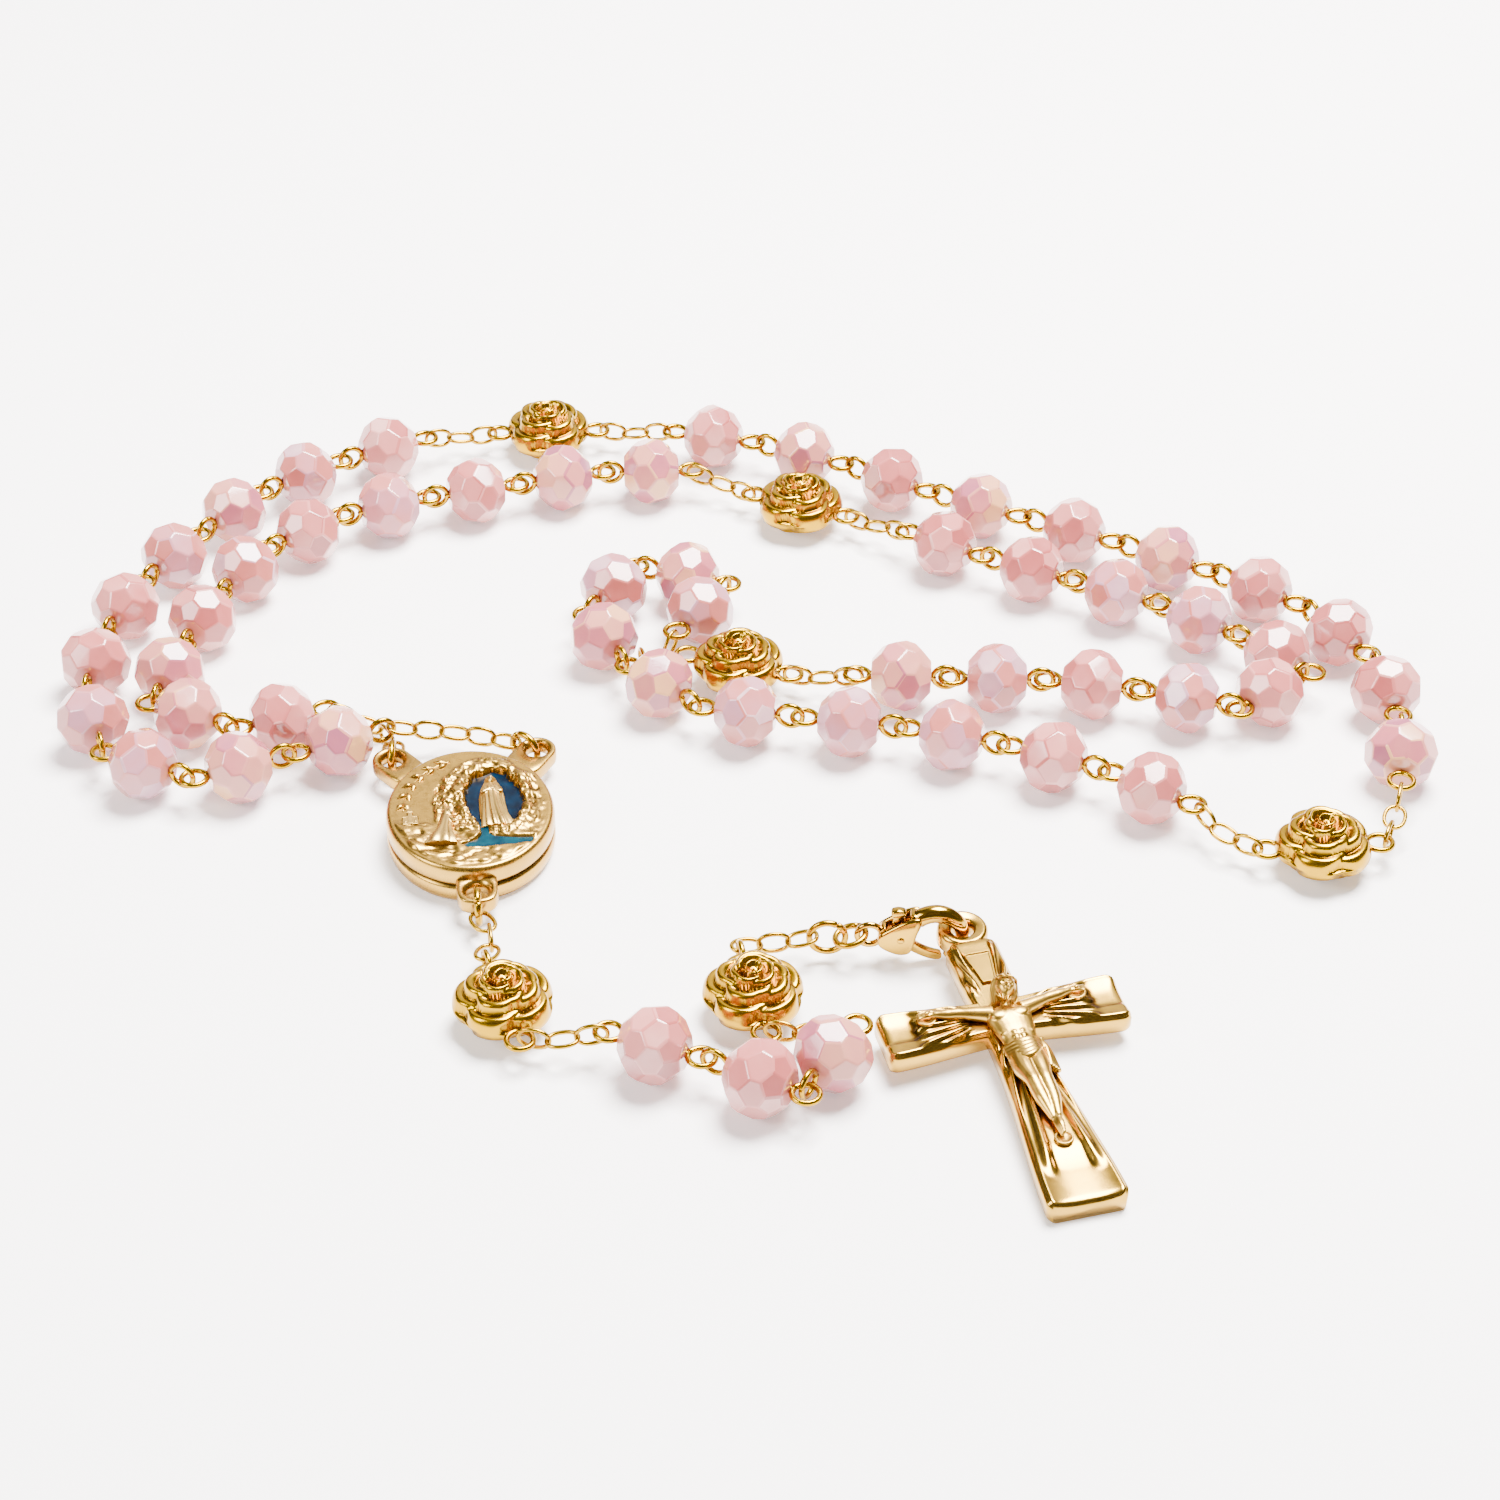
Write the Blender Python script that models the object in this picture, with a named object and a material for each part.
"""Rosary: five decades of faceted glass beads, six rose beads, centre medal and crucifix.

Blender 4.5, +Z up.  Lengths below are millimetres; meshes are written in metres.
The rosary lies on the ground plane z = 0.  Every element of the chain (bead, rose,
link, ring) has a near and a far eye.  An eye stands upright ("V") or lies flat ("H"),
and each upright eye is threaded through the flat eye of its neighbour.
"""
import math

import bmesh
import bpy
from mathutils import Matrix, Vector

MM = 0.001

# --- driving dimensions -------------------------------------------------------
LAY_CENTRE = (-1.49, -3.261)      # subtracted from every ground point, centres the box
BEAD_R, BEAD_HALF = 3.95, 3.2   # faceted glass rondelle: radius, half its length
BEAD_SIDES = 8
EYE_R, EYE_WIRE = 1.35, 0.3    # eye of a bead pin or rose pin: centreline, wire radius
BEAD_PIN = 5.0                 # bead centre to eye centre
ROSE_R, ROSE_H = 5.05, 5.6      # rose bead: radius over the petals, thickness
ROSE_PIN = 6.1                 # rose centre to eye centre
LINK_A, LINK_B, LINK_WIRE = 1.6, 1.1, 0.2   # oval cable link: half axes, wire radius
LINK_TOUCH = 1.3               # flat link centre to a neighbour link's wire
FLAT_SLACK = 0.55              # flat eye centre to the wire threaded in it
LINK_SLACK = 0.9               # flat link centre to an eye's wire
EAR_RING = (1.75, 0.4)          # jump rings on the medal: centreline, wire radius
BIG_RING = (1.85, 0.35)        # first and second clasp rings
MID_RING = (1.6, 0.35)
RING_SLACK = 0.75              # flat ring centre to the wire threaded in it
LAST_CHAIN = ((0, 0, 4.0), (-1.2, -2.1, 1.9), (-3.4, -3.2, 1.3), (-4.1, -0.6, 1.3))

MEDAL_AT, MEDAL_TURN = (-29.8, -16.6), math.radians(7)
MEDAL_A, MEDAL_B = 9.0, 10.6   # half width and half height of the medal
BACK_H, FRONT_Z, MEDAL_H = 3.4, 3.7, 5.4
EAR_AT = ((7.9, 11.7), (-7.9, 11.7))
LUG_AT = (0.0, -12.1)
EAR_R, EAR_HOLE, EAR_Z, EAR_H = 2.15, 1.2, 2.5, 1.7
NICHE_AT, NICHE = (2.5, 0.8), (3.5, 5.2)

CLASP_LOOP, CLASP_WIRE = 2.7, 0.5      # hook centreline radius, half thickness
CLASP_CENTRE, CLASP_REACH = 8.0, 10.7  # loop centre and far wire, from the tail wire
CLASP_W, SLOT_W, LEVER_W = 2.6, 1.3, 0.7
TAIL_R, TAIL_WIRE = 1.25, 0.35
PIVOT, RIVET_R, RIVET_HOLE, LEVER_HOLE = (4.4, 0.2), 0.4, 0.52, 0.6
CLASP_HEADING = math.radians(0)

CROSS_HEADING = math.radians(-74.8)
CROSS_T, CROSS_HOLE = 2.6, 1.2
CROSS_END = 39.0               # hole centre to the foot of the cross
ARM_Y, ARM_X = -13.3, 12.5

# --- where the strands lie (ground points in millimetres, chosen by hand) -----
STRAND_A = [(-23.4, -4), (-27, -1.5), (-34, -0.5), (-40, -1.2), (-45, -2.8), (-53.5, -8), (-63, -10.5),
            (-71, -5), (-74.5, 7), (-73.5, 18.5), (-70, 30), (-64, 40.5), (-57, 50), (-47, 56.5),
            (-38, 61), (-32, 63), (-25.5, 64)]
STRAND_E = [(-25.5, 64), (-19, 63.8), (-12, 62.2), (-4.5, 60.2), (6.5, 57), (15.5, 51.2), (25.2, 45.6),
            (35.2, 40.6), (45.8, 35), (56.3, 28.5), (66.3, 20.3), (71.6, 8.5), (71.6, -3), (70.8, -9),
            (69.5, -14), (68, -18.5), (66.5, -20.5), (60.5, -21)]
STRAND_D = [(60.5, -21), (54.5, -21.5), (50, -18.5), (47, -14.5), (43, -11.5), (33, -6), (22, -2.5),
            (10.5, 0.5), (-1.5, 1.5), (-9.5, 5.2), (-14.5, 12), (-19, 22.5), (-11.8, 32), (-2.3, 27),
            (-8.5, 17.5)]
STRAND_B = [(-39.2, -5.9), (-39.3, -3.5), (-39.4, -0.6), (-41.3, 2.2), (-46, 2.5), (-53, 1.5), (-59, -2.5),
            (-65.3, 0.5), (-66.5, 9), (-62.8, 18.5), (-61, 28), (-55.5, 37), (-47.5, 43), (-36.5, 47),
            (-25, 50), (-13.5, 53), (-6, 52), (0, 49), (6, 46)]
STRAND_C = [(6, 46), (12, 43.6), (18.6, 38.8), (24.5, 35), (30, 32), (40, 27), (49.4, 22), (56.8, 15.8),
            (63.8, 7.6), (55.5, 2.8), (45, 5.8), (34, 8), (23, 8.5), (13, 9), (5.6, 10.5), (-1.3, 12.7)]
STRAND_P = [(-28.3, -28.7), (-28.2, -31.5), (-26.5, -34.5), (-26.5, -38), (-27.5, -40.5),
            (-25.7, -46.3), (-22.5, -51.5), (-18.5, -51.8), (-10.3, -52), (-6, -54), (2, -62.6),
            (10.3, -53.1), (8.5, -50.6), (1.8, -50.3), (-0.7, -43.9), (-1.3, -37.7), (2, -36.4),
            (6.5, -36.2), (11.5, -36.2)]
SAG, UNDERPASS_SAG = 0.5, 2.2   # chains droop; strand b's first chain passes under strand a
CHAIN_LOW, RING_LOW = 1.35, 1.8  # lowest junctions that keep links and rings off the table
AXIS_Z = {"bead": BEAD_R, "rose": ROSE_H / 2, "ear": EAR_Z, "ring": 3.1, "clasp": 3.45}


# --- layout ---------------------------------------------------------------------
def smooth(points, steps=24):
    """Sample a Catmull-Rom curve through the given ground points."""
    pts = [Vector(p) for p in points]
    pts = [2 * pts[0] - pts[1]] + pts + [2 * pts[-1] - pts[-2]]
    out = []
    for a, b, c, d in zip(pts, pts[1:], pts[2:], pts[3:]):
        for i in range(steps):
            t = i / steps
            out.append(0.5 * ((2 * b) + (c - a) * t + (2 * a - 5 * b + 4 * c - d) * t * t
                              + (3 * b - a - 3 * c + d) * t ** 3))
    return out + [pts[-2]]


def step_along(curve, start, chord):
    """Return the place on the curve at a straight distance chord after start."""
    index, here = start
    origin = here
    while index < len(curve) - 1:
        nxt = curve[index + 1]
        if (nxt - origin).length >= chord:
            low, high = 0.0, 1.0
            for _ in range(30):
                mid = (low + high) / 2
                if (here.lerp(nxt, mid) - origin).length < chord:
                    low = mid
                else:
                    high = mid
            return index, here.lerp(nxt, low)
        index, here = index + 1, nxt
    heading = (curve[-1] - curve[-2]).normalized()
    return index, origin + heading * chord


def walk(curve, lengths, scale):
    """Junctions along a curve: a length is scaled unless it is marked fixed."""
    place = (0, curve[0])
    joints = [curve[0]]
    for length, fixed in lengths:
        place = step_along(curve, place, length if fixed else length * scale)
        joints.append(place[1])
    return joints


def fit_walk(curve, lengths):
    """Share the slack so that the last junction lands on the end of the curve."""
    scales = [0.90 + 0.0005 * i for i in range(300)]
    best = min(scales, key=lambda scale: (walk(curve, lengths, scale)[-1] - curve[-1]).length)
    return walk(curve, lengths, best)


def reach(kind, eye, mate):
    """Distance from an element's centre to the junction at one of its eyes."""
    if kind == "link":
        if eye == "V":
            return LINK_A
        return LINK_TOUCH if mate == "link" else LINK_SLACK
    if kind in RINGS:
        radius = RINGS[kind][0]
        return radius if eye == "V" else RING_SLACK
    pin = BEAD_PIN if kind == "bead" else ROSE_PIN
    return pin + (EYE_R if eye == "V" else FLAT_SLACK)


RINGS = {"ear_ring": EAR_RING, "big_ring": BIG_RING, "mid_ring": MID_RING}


def chain_eyes(first, count):
    """Alternate upright and flat links, starting with the given one."""
    other = {"V": "H", "H": "V"}
    eyes = [first]
    while len(eyes) < count:
        eyes.append(other[eyes[-1]])
    return [("link", eye, eye) for eye in eyes]


def decade(first_near):
    """Ten beads; only the first one's near eye depends on what it hangs from."""
    return [("bead", first_near, "H")] + [("bead", "V", "H")] * 9


# Each strand runs from an ear or a rose to the next rose: its route, its elements, and
# whether a rose stands on its first and last point.
STRANDS = {
    "a": (STRAND_A, [("ear_ring", "V", "V")] + chain_eyes("H", 5) + decade("V")
          + chain_eyes("V", 3), False, True),
    "e": (STRAND_E, chain_eyes("V", 3) + decade("H") + chain_eyes("V", 3), True, True),
    "d": (STRAND_D, chain_eyes("V", 3) + decade("H"), True, False),
    "b": (STRAND_B, [("ear_ring", "V", "V")] + chain_eyes("H", 4) + decade("H")
          + chain_eyes("V", 3), False, True),
    "c": (STRAND_C, chain_eyes("V", 3) + decade("H") + chain_eyes("V", 3), True, True),
    "p": (STRAND_P, [("ear_ring", "V", "V")] + chain_eyes("H", 3) + [("rose", "V", "H")]
          + chain_eyes("V", 3) + [("bead", "H", "H"), ("bead", "V", "H"), ("bead", "V", "H")]
          + chain_eyes("V", 3) + [("rose", "H", "V")] + chain_eyes("H", 3)
          + [("big_ring", "V", "V"), ("mid_ring", "H", "H")], False, False),
}
ROSE_OF = {"a": "rose_1", "e": "rose_4", "b": "rose_2", "c": "rose_3"}


def junction_heights(elements, start_rose, end_rose, first_sag):
    """Heights of a strand's junctions: fixed at beads and roses, drooping between them."""
    kinds = [kind for kind, _, _ in elements]
    before = ["rose" if start_rose else "ear"] + kinds
    after = kinds + ["rose" if end_rose else ("bead" if kinds[-1] == "bead" else "clasp")]
    heights = []
    for a, b in zip(before, after):
        known = [AXIS_Z[k] for k in (a, b) if k in AXIS_Z]
        if "big_ring" in (a, b):
            known = [AXIS_Z["ring"]]
        heights.append(max(known) if known else None)
    known = [i for i, height in enumerate(heights) if height is not None]
    for low, high in zip(known, known[1:]):
        sag = first_sag if low == known[0] else SAG
        for i in range(low + 1, high):
            share = (i - low) / (high - low)
            level = heights[low] + share * (heights[high] - heights[low])
            floor = RING_LOW if before[i] == "ear_ring" else CHAIN_LOW
            heights[i] = max(floor, level - 4 * sag * share * (1 - share))
    return heights


def lay_strand(route, elements, start_rose, end_rose, first_sag):
    """Place a strand's elements; returns dicts with kind, eyes, centre, along, joints."""
    reaches, lengths = [], []
    for i, (kind, near, far) in enumerate(elements):
        mates = [elements[k][0] if 0 <= k < len(elements) else "" for k in (i - 1, i + 1)]
        pair = reach(kind, near, mates[0]), reach(kind, far, mates[1])
        reaches.append(pair)
        lengths.append((sum(pair), kind == "link"))
    rose_half = (ROSE_PIN + FLAT_SLACK, False)
    all_lengths = [rose_half] * start_rose + lengths + [rose_half] * end_rose
    curve = smooth([Vector(p) - Vector(LAY_CENTRE) for p in route])
    ground = fit_walk(curve, all_lengths)
    if start_rose:
        ground = ground[1:]
    if end_rose:
        ground = ground[:-1]
    joints = [p.to_3d() + Vector((0, 0, z))
              for p, z in zip(ground, junction_heights(elements, start_rose, end_rose, first_sag))]
    laid = []
    for (kind, near, far), (r_near, r_far), a, b in zip(elements, reaches, joints, joints[1:]):
        along = (b - a).normalized()
        slack = (b - a).length - r_near - r_far
        share = {"VH": 0.0, "HV": 1.0}.get(near + far, 0.5)
        laid.append({"kind": kind, "near": near, "far": far, "along": along,
                     "centre": a + along * (r_near + slack * share), "from": a, "to": b})
    return laid


def place_matrix(centre, along):
    """Local x runs along the chain, local y stays level."""
    side = Vector((0, 0, 1)).cross(along).normalized()
    up = along.cross(side)
    return Matrix.Translation(centre) @ Matrix((along, side, up)).transposed().to_4x4()


# --- mesh tools -----------------------------------------------------------------
def solid(bm, name="solid", matrix=Matrix.Identity(4)):
    """Finish a bmesh as an object, moved by matrix and scaled to metres."""
    bmesh.ops.transform(bm, matrix=Matrix.Scale(MM, 4) @ matrix, verts=bm.verts)
    bmesh.ops.recalc_face_normals(bm, faces=bm.faces)
    mesh = bpy.data.meshes.new(name)
    bm.to_mesh(mesh)
    bm.free()
    obj = bpy.data.objects.new(name, mesh)
    bpy.context.collection.objects.link(obj)
    return obj


def combine(name, first, others, operation="UNION"):
    """Boolean the others into the first and keep one clean object."""
    for other in others:
        mod = first.modifiers.new(operation.lower(), "BOOLEAN")
        mod.operation, mod.object = operation, other
    bpy.context.view_layer.update()
    graph = bpy.context.evaluated_depsgraph_get()
    mesh = bpy.data.meshes.new_from_object(first.evaluated_get(graph))
    for other in others:
        bpy.data.objects.remove(other)
    first.modifiers.clear()
    first.data = mesh
    first.name = name
    return first


def loft(rings, matrix=Matrix.Identity(4), closed=False):
    """Skin a list of equal rings of points; ends capped unless closed in a circle."""
    bm = bmesh.new()
    rows = [[bm.verts.new(p) for p in ring] for ring in rings]
    pairs = list(zip(rows, rows[1:])) + ([(rows[-1], rows[0])] if closed else [])
    for a, b in pairs:
        for i in range(len(a)):
            k = (i + 1) % len(a)
            bm.faces.new((a[i], a[k], b[k], b[i]))
    if not closed:
        bm.faces.new(list(reversed(rows[0])))
        bm.faces.new(rows[-1])
    return solid(bm, matrix=matrix)


def wire_ring(matrix, eye, half_a, half_b, wire, centre_x=0.0, major=8, minor=3):
    """Closed oval wire; an upright one stands in local x-z, a flat one in x-y."""
    rings = []
    for i in range(major):
        t = math.tau * (i + 0.5) / major
        out = Vector((math.cos(t) * half_b, math.sin(t) * half_a, 0)).normalized()
        ring = []
        for k in range(minor):
            s = math.tau * (k + 0.5) / minor
            p = Vector((half_a * math.cos(t), half_b * math.sin(t), wire * math.sin(s)))
            p += out * wire * math.cos(s)
            p = (p.x + centre_x, p.y, p.z) if eye == "H" else (p.x + centre_x, -p.z, p.y)
            ring.append(p)
        rings.append(ring)
    return loft(rings, matrix, closed=True)


def hull(points, matrix):
    """Convex faceted solid through the points."""
    bm = bmesh.new()
    for p in points:
        bm.verts.new(p)
    result = bmesh.ops.convex_hull(bm, input=bm.verts)
    loose = [v for v in bm.verts if not v.link_faces]
    bmesh.ops.delete(bm, geom=loose, context="VERTS")
    return solid(bm, matrix=matrix)


def extrude(outline, z_low, z_high, matrix=Matrix.Identity(4), bevel=0.0):
    """Prism over a flat outline, its top edge drawn in by bevel."""
    middle = sum((Vector(p) for p in outline), Vector((0, 0))) / len(outline)
    rings = [[(x, y, z_low) for x, y in outline], [(x, y, z_high - bevel) for x, y in outline]]
    if bevel:
        inner = [Vector(p) + (middle - Vector(p)).normalized() * bevel for p in outline]
        rings.append([(p.x, p.y, z_high) for p in inner])
    return loft(rings, matrix)


def oval(a, b, sides, centre=(0, 0), turn=0.5):
    """Points of an ellipse, anticlockwise."""
    return [(centre[0] + a * math.cos(math.tau * (i + turn) / sides),
             centre[1] + b * math.sin(math.tau * (i + turn) / sides)) for i in range(sides)]


# --- bead, rose, chain and rings ------------------------------------------------
def bead_points():
    """Girdle and shoulder corners, and a low cone at each end that meets the eye."""
    rows = ((-BEAD_HALF, 2.1, 0.5), (-1.1, BEAD_R, 0.0), (1.1, BEAD_R, 0.5), (BEAD_HALF, 2.1, 0.0))
    points = [(sign * (BEAD_PIN - EYE_R + 0.1), 0, 0) for sign in (-1, 1)]
    for x, radius, turn in rows:
        for i in range(BEAD_SIDES):
            t = math.tau * (i + turn) / BEAD_SIDES - math.pi / 2
            points.append((x, radius * math.cos(t), radius * math.sin(t)))
    return points


def pin_eyes(item, core, matrix):
    """The two eyes of an element's wire pin."""
    return [wire_ring(matrix, eye, EYE_R, EYE_R, EYE_WIRE, sign * core)
            for sign, eye in ((-1, item["near"]), (1, item["far"]))]


def bead_solid(item):
    """Faceted bead with its eye pin."""
    matrix = place_matrix(item["centre"], item["along"])
    return [hull(bead_points(), matrix)] + pin_eyes(item, BEAD_PIN, matrix)


def rose_solid(item):
    """Five-lobed rose bead with its eye pin."""
    matrix = place_matrix(item["centre"], item["along"])
    levels = ((-1.0, 0.62), (-0.55, 0.95), (0.1, 1.0), (0.7, 0.9), (1.0, 0.55))
    rings = []
    for height, width in levels:
        ring = []
        for i in range(16):
            t = math.tau * i / 16
            lobe = 0.97 + 0.03 * abs(math.cos(2.5 * t))
            ring.append((ROSE_R * width * lobe * math.cos(t), ROSE_R * width * lobe * math.sin(t),
                         height * ROSE_H / 2))
        rings.append(ring)
    return [loft(rings, matrix)] + pin_eyes(item, ROSE_PIN, matrix)


def link_solid(item):
    """One oval cable link."""
    matrix = place_matrix(item["centre"], item["along"])
    return [wire_ring(matrix, item["near"], LINK_A, LINK_B, LINK_WIRE)]


def ring_solid(item):
    """One round jump ring."""
    radius, wire = RINGS[item["kind"]]
    matrix = place_matrix(item["centre"], item["along"])
    return [wire_ring(matrix, item["near"], radius, radius, wire, major=12, minor=5)]


MAKE = {"bead": bead_solid, "rose": rose_solid, "link": link_solid}


def bridge(flat, upright):
    """Joins a flat eye to the upright eye threaded in it, from wire to wire."""
    centre = flat["centre"] + flat["along"] * BEAD_PIN
    wire = upright["centre"] - upright["along"] * (BEAD_PIN + EYE_R)
    offset = wire - centre
    along = offset.dot(upright["along"])
    reach_on = math.sqrt(along ** 2 - offset.length_squared + EYE_R ** 2) - along
    corners = [Vector(p) * 0.35 for p in ((1, 0, 0), (-1, 0, 0), (0, 1, 0), (0, -1, 0),
                                          (0, 0, 1), (0, 0, -1))]
    ends = (wire, wire + upright["along"] * reach_on)
    return hull([end + corner for end in ends for corner in corners], Matrix.Identity(4))


def node_groups(strand, laid):
    """Share a strand's elements among nodes: whole chains, bead pairs, single pieces."""
    groups, run = [], 0
    paired = strand != "p"
    counts = {"chain": 0, "bead": 0, "rose": 0}
    while run < len(laid):
        kind = laid[run]["kind"]
        size = 1
        if kind == "link":
            while run + size < len(laid) and laid[run + size]["kind"] == "link":
                size += 1
            name = f"chain_{strand}{counts['chain'] + 1}"
            counts["chain"] += 1
        elif kind == "bead":
            first = counts["bead"] + 1
            size = 2 if paired else 1
            name = f"beads_{strand}{first}_{first + 1}" if paired else f"bead_{strand}{first}"
            counts["bead"] += size
        elif kind == "rose":
            counts["rose"] += 1
            name = f"rose_{4 + counts['rose']}"
        else:
            name = f"ear_ring_{strand}" if kind == "ear_ring" else kind
        groups.append((name, laid[run:run + size]))
        run += size
    return groups


def lay_out():
    """Every chain element of the rosary, grouped by node, strand by strand."""
    nodes = []
    for strand, (route, elements, start_rose, end_rose) in STRANDS.items():
        first_sag = UNDERPASS_SAG if strand == "b" else SAG
        laid = lay_strand(route, elements, start_rose, end_rose, first_sag)
        nodes.append((strand, node_groups(strand, laid)))
    ends = {strand: groups for strand, groups in nodes}
    for strand, follower in (("a", "e"), ("e", "d"), ("b", "c"), ("c", None)):
        near = ends[strand][-1][1][-1]["to"]
        centre = Vector(STRANDS[strand][0][-1]) - Vector(LAY_CENTRE)
        centre = centre.to_3d() + Vector((0, 0, AXIS_Z["rose"]))
        far = ends[follower][0][1][0]["from"] if follower else 2 * centre - near
        along = (far - near).normalized()
        middle = (near + far) / 2
        ends[strand].append((ROSE_OF[strand], [{
            "kind": "rose", "near": "H", "far": "H", "along": along, "centre": middle,
            "from": near, "to": far}]))
    start = ends["d"][-1][1][-1]["to"]
    turns = [Vector((start.x + x, start.y + y, z)) for x, y, z in LAST_CHAIN]
    ends["d"].append(("chain_d2", [
        {"kind": "link", "near": eye, "far": eye, "along": (b - a).normalized(),
         "centre": (a + b) / 2, "from": a, "to": b}
        for eye, a, b in zip("VHV", turns, turns[1:])]))
    return nodes


def make_chain_nodes():
    """Model each node of the strands as one closed solid."""
    for _, groups in lay_out():
        for name, items in groups:
            parts = []
            for item in items:
                parts += MAKE.get(item["kind"], ring_solid)(item)
            if items[0]["kind"] == "bead" and len(items) > 1:
                parts.append(bridge(*items))
            obj = combine(name, parts[0], parts[1:])
            paint(obj, "glass" if "bead" in name else "gold")


# --- centre medal ---------------------------------------------------------------
def medal_matrix():
    """The medal lies flat, turned a little."""
    at = Vector(MEDAL_AT) - Vector(LAY_CENTRE)
    return Matrix.Translation(at.to_3d()) @ Matrix.Rotation(MEDAL_TURN, 4, "Z")


def medal_ring(z, inset=0.0, sides=28):
    """One oval level of the medal's rim."""
    return [(x, y, z) for x, y in oval(MEDAL_A - inset, MEDAL_B - inset, sides)]


def ear_tab(at, matrix):
    """Flat tab from inside the rim out to a round end about the ear's hole."""
    out = Vector(at).normalized()
    side = Vector((-out.y, out.x))
    root = out * 8.0
    outline = [root - side * 3.0, root + side * 3.0]
    start = math.atan2(side.y, side.x)
    for i in range(9):
        t = start - math.pi * i / 8
        outline.append(Vector(at) + Vector((math.cos(t), math.sin(t))) * EAR_R)
    outline = [tuple(p) for p in reversed(outline)]
    return extrude(outline, EAR_Z - EAR_H / 2, EAR_Z + EAR_H / 2, matrix)


def make_medal():
    """Two facing shells with a seam between them, and the enamel panel."""
    matrix = medal_matrix()
    ears = EAR_AT + (LUG_AT,)
    back = loft([medal_ring(0, 0.9), medal_ring(0.9), medal_ring(BACK_H)], matrix)
    tabs = [ear_tab(at, matrix) for at in ears]
    back = combine("medal_back", back, tabs)
    cuts = [loft([medal_ring(1.0, 1.8), medal_ring(BACK_H + 1, 1.6)], matrix)]
    for at in ears:
        hole = [oval(EAR_HOLE, EAR_HOLE, 12, at)]
        cuts.append(extrude(hole[0], -1, BACK_H + 1, matrix))
    back = combine("medal_back", back, cuts, "DIFFERENCE")
    front = loft([medal_ring(FRONT_Z), medal_ring(MEDAL_H - 0.6), medal_ring(MEDAL_H, 0.7)], matrix)
    cuts = [loft([medal_ring(FRONT_Z - 1, 1.6), medal_ring(FRONT_Z + 0.8, 1.8)], matrix),
            extrude(oval(*NICHE, 20, NICHE_AT), MEDAL_H - 0.6, MEDAL_H + 1, matrix)]
    front = combine("medal_front", front, cuts, "DIFFERENCE")
    enamel = extrude(oval(NICHE[0] - 0.3, NICHE[1] - 0.3, 20, NICHE_AT),
                     MEDAL_H - 0.3, MEDAL_H, matrix)
    enamel.name = "medal_enamel"
    for obj, colour in ((back, "pale_gold"), (front, "pale_gold"), (enamel, "enamel")):
        paint(obj, colour)


# --- lobster clasp and crucifix -------------------------------------------------
def clasp_matrix():
    """Clasp frame: origin at the tail eye's wire, x towards the hook, z up."""
    groups = dict(lay_out())["p"]
    tail = groups[-1][1][-1]["to"]
    tail = Vector((tail.x, tail.y, AXIS_Z["clasp"]))
    along = Vector((math.cos(CLASP_HEADING), math.sin(CLASP_HEADING), 0))
    return place_matrix(tail, along)


UPRIGHT = Matrix.Rotation(math.pi / 2, 4, "X")


def upright_plate(outline, width, matrix):
    """Prism over an outline that stands in the clasp's own plane."""
    return extrude(outline, -width / 2, width / 2, matrix @ UPRIGHT)


def hook_arc(matrix, start, end, steps=12):
    """Curved hook from the body over the top and down to its tip."""
    rings = []
    for i in range(steps + 1):
        t = math.radians(start + (end - start) * i / steps)
        out = Vector((math.cos(t), 0, math.sin(t)))
        middle = Vector((CLASP_CENTRE, 0, 0)) + out * CLASP_LOOP
        ring = []
        for k in range(8):
            s = math.tau * (k + 0.5) / 8
            ring.append(tuple(middle + out * CLASP_WIRE * math.cos(s)
                              + Vector((0, 1, 0)) * CLASP_WIRE * math.sin(s)))
        rings.append(ring)
    return loft(rings, matrix)


def make_clasp():
    """Lobster clasp: slotted body with hook and tail eye, sprung lever, rivet."""
    matrix = clasp_matrix()
    outline = [(2.1, -0.5), (3.0, -1.6), (4.4, -2.3), (5.4, -1.7), (5.7, -0.2), (6.2, 1.2),
               (6.6, 2.5), (5.4, 2.7), (3.0, 1.6), (2.1, 0.5)]
    body = upright_plate(outline, CLASP_W, matrix)
    tail = wire_ring(matrix, "V", TAIL_R, TAIL_R, TAIL_WIRE, TAIL_R, 10, 5)
    body = combine("clasp_body", body, [hook_arc(matrix, 128, -68), tail])
    slot = [(2.8, 3.6), (2.8, 0.4), (3.5, -1.2), (3.5, -3.6), (7.6, -3.6), (7.6, 0.6), (5.2, 1.1),
            (5.1, 3.6)]
    cut = upright_plate(slot, SLOT_W, matrix)
    hole = upright_plate(oval(RIVET_HOLE, RIVET_HOLE, 12, PIVOT), CLASP_W + 1, matrix)
    body = combine("clasp_body", body, [cut, hole], "DIFFERENCE")
    arm = [(3.7, 3.3), (3.5, 0.5), (3.8, -0.6), (4.8, -1.1), (7.4, -2.9), (7.9, -2.4), (5.2, -0.1),
           (4.9, 0.6), (4.5, 3.3)]
    lever = upright_plate(arm, LEVER_W, matrix)
    bore = upright_plate(oval(LEVER_HOLE, LEVER_HOLE, 12, PIVOT), CLASP_W, matrix)
    lever = combine("clasp_lever", lever, [bore], "DIFFERENCE")
    rivet = upright_plate(oval(RIVET_R, RIVET_R, 12, PIVOT), CLASP_W + 0.3, matrix)
    rivet.name = "clasp_rivet"
    for obj in (body, lever, rivet):
        paint(obj, "gold")


def cross_matrix():
    """Crucifix frame: origin at its hole, y towards its top, foot on the ground."""
    hook = clasp_matrix() @ Vector((CLASP_REACH, 0, 0))
    half = CROSS_T / 2
    tilt = math.asin(hook.z / math.hypot(CROSS_END, half)) - math.atan2(half, CROSS_END)
    return (Matrix.Translation(hook) @ Matrix.Rotation(CROSS_HEADING + math.pi / 2, 4, "Z")
            @ Matrix.Rotation(tilt, 4, "X"))


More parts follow.
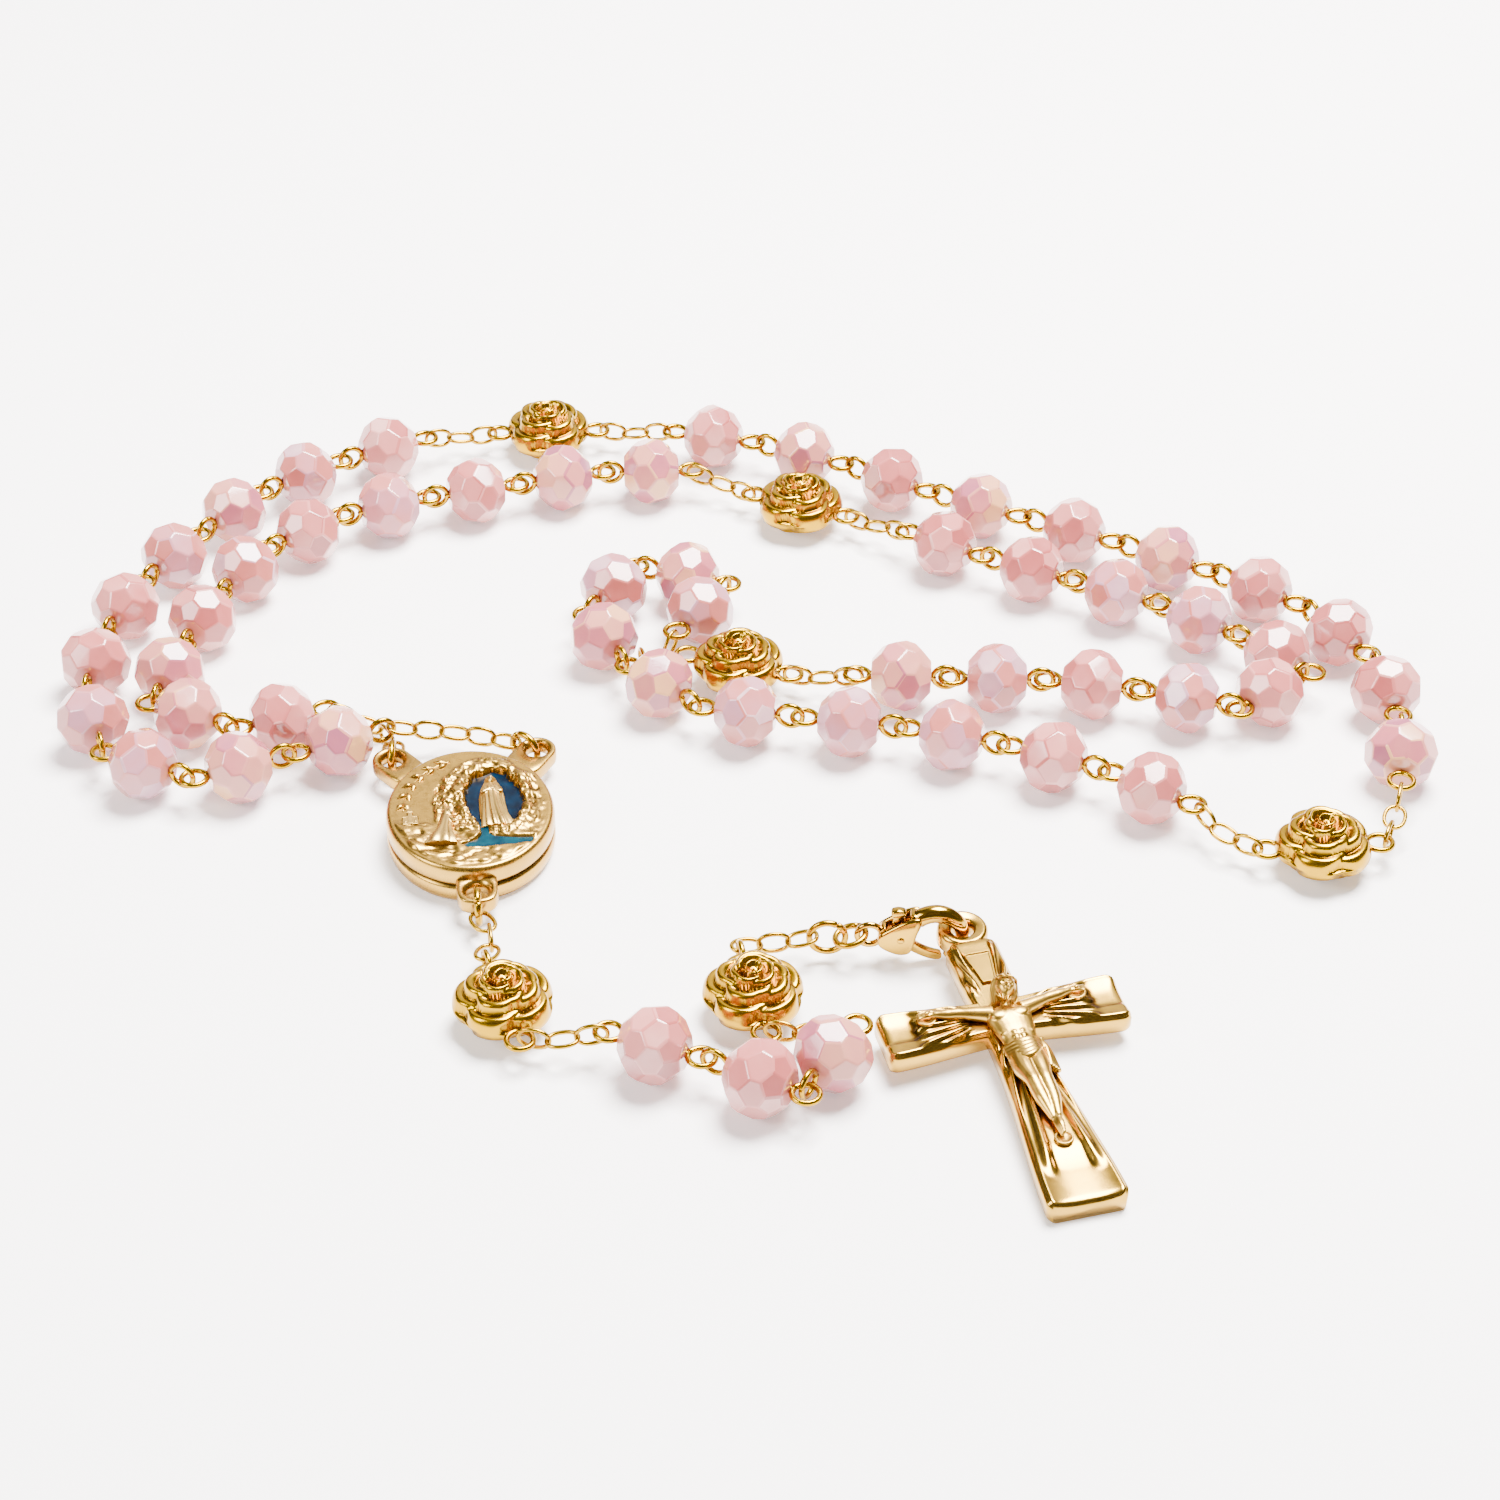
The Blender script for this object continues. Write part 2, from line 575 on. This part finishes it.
def cross_outline():
    """Flared Latin cross; the right side is mirrored to the left."""
    right = [(1.3, 2.1), (2.9, 1.0), (2.7, -4), (2.4, ARM_Y + 3.0), (ARM_X - 4, ARM_Y + 2.7),
             (ARM_X, ARM_Y + 3.3), (ARM_X, ARM_Y - 3.3), (ARM_X - 4, ARM_Y - 2.7),
             (2.5, ARM_Y - 3.0), (3.0, -28), (4.1, -CROSS_END)]
    left = [(-x, y) for x, y in reversed(right)]
    return list(reversed(right + left))


def make_crucifix():
    """One casting: the cross and its figure in relief."""
    matrix = cross_matrix()
    half = CROSS_T / 2
    cross = extrude(cross_outline(), -half, half, matrix)

    def lump(points, low=half - 0.3):
        """Convex relief lump standing on the cross's face."""
        feet = [(x, y, low) for x, y, _ in points]
        return hull(feet + list(points), matrix)

    top = half + 1.5
    head = lump([(x, y, top + 0.2) for x, y in oval(0.9, 1.2, 8, (0.3, ARM_Y + 1.6))], half - 0.4)
    torso = lump([(-1.7, ARM_Y, top), (1.7, ARM_Y, top), (1.2, -19.5, top), (-1.2, -19.5, top)])
    legs = lump([(-1.5, -19, top - 0.1), (1.5, -19, top - 0.1), (0.7, -31, half + 0.9),
                 (-0.7, -31, half + 0.9)], half - 0.5)
    arms = []
    for sign in (-1, 1):
        arms.append(lump([(sign * 1.2, ARM_Y - 0.6, half + 1.1), (sign * 1.2, ARM_Y + 0.4, half + 1.1),
                          (sign * 9.8, ARM_Y + 1.6, half + 0.6), (sign * 9.8, ARM_Y + 0.8, half + 0.6)]))
    cross = combine("crucifix", cross, [torso, head, legs] + arms)
    hole = extrude(oval(CROSS_HOLE, CROSS_HOLE, 12), -5, 5, matrix)
    cross = combine("crucifix", cross, [hole], "DIFFERENCE")
    paint(cross, "pale_gold")


# --- materials and assembly -----------------------------------------------------
FINISH = {"glass": ((0.86, 0.66, 0.64), 0.15, 0.0), "gold": ((0.83, 0.60, 0.20), 0.2, 1.0),
          "pale_gold": ((0.86, 0.70, 0.44), 0.25, 1.0), "enamel": ((0.02, 0.16, 0.36), 0.1, 0.0)}
MATERIALS = {}


def make_materials():
    """One Principled material per finish."""
    for name, (colour, roughness, metallic) in FINISH.items():
        material = bpy.data.materials.new(name)
        material.use_nodes = True
        shader = material.node_tree.nodes["Principled BSDF"]
        shader.inputs["Base Color"].default_value = (*colour, 1)
        shader.inputs["Roughness"].default_value = roughness
        shader.inputs["Metallic"].default_value = metallic
        material.diffuse_color = (*colour, 1)
        MATERIALS[name] = material


def paint(obj, finish):
    """Give an object its only material."""
    obj.data.materials.clear()
    obj.data.materials.append(MATERIALS[finish])


def main():
    """Clear the scene and build every node."""
    for obj in list(bpy.data.objects):
        bpy.data.objects.remove(obj)
    make_materials()
    make_medal()
    make_chain_nodes()
    make_clasp()
    make_crucifix()


main()
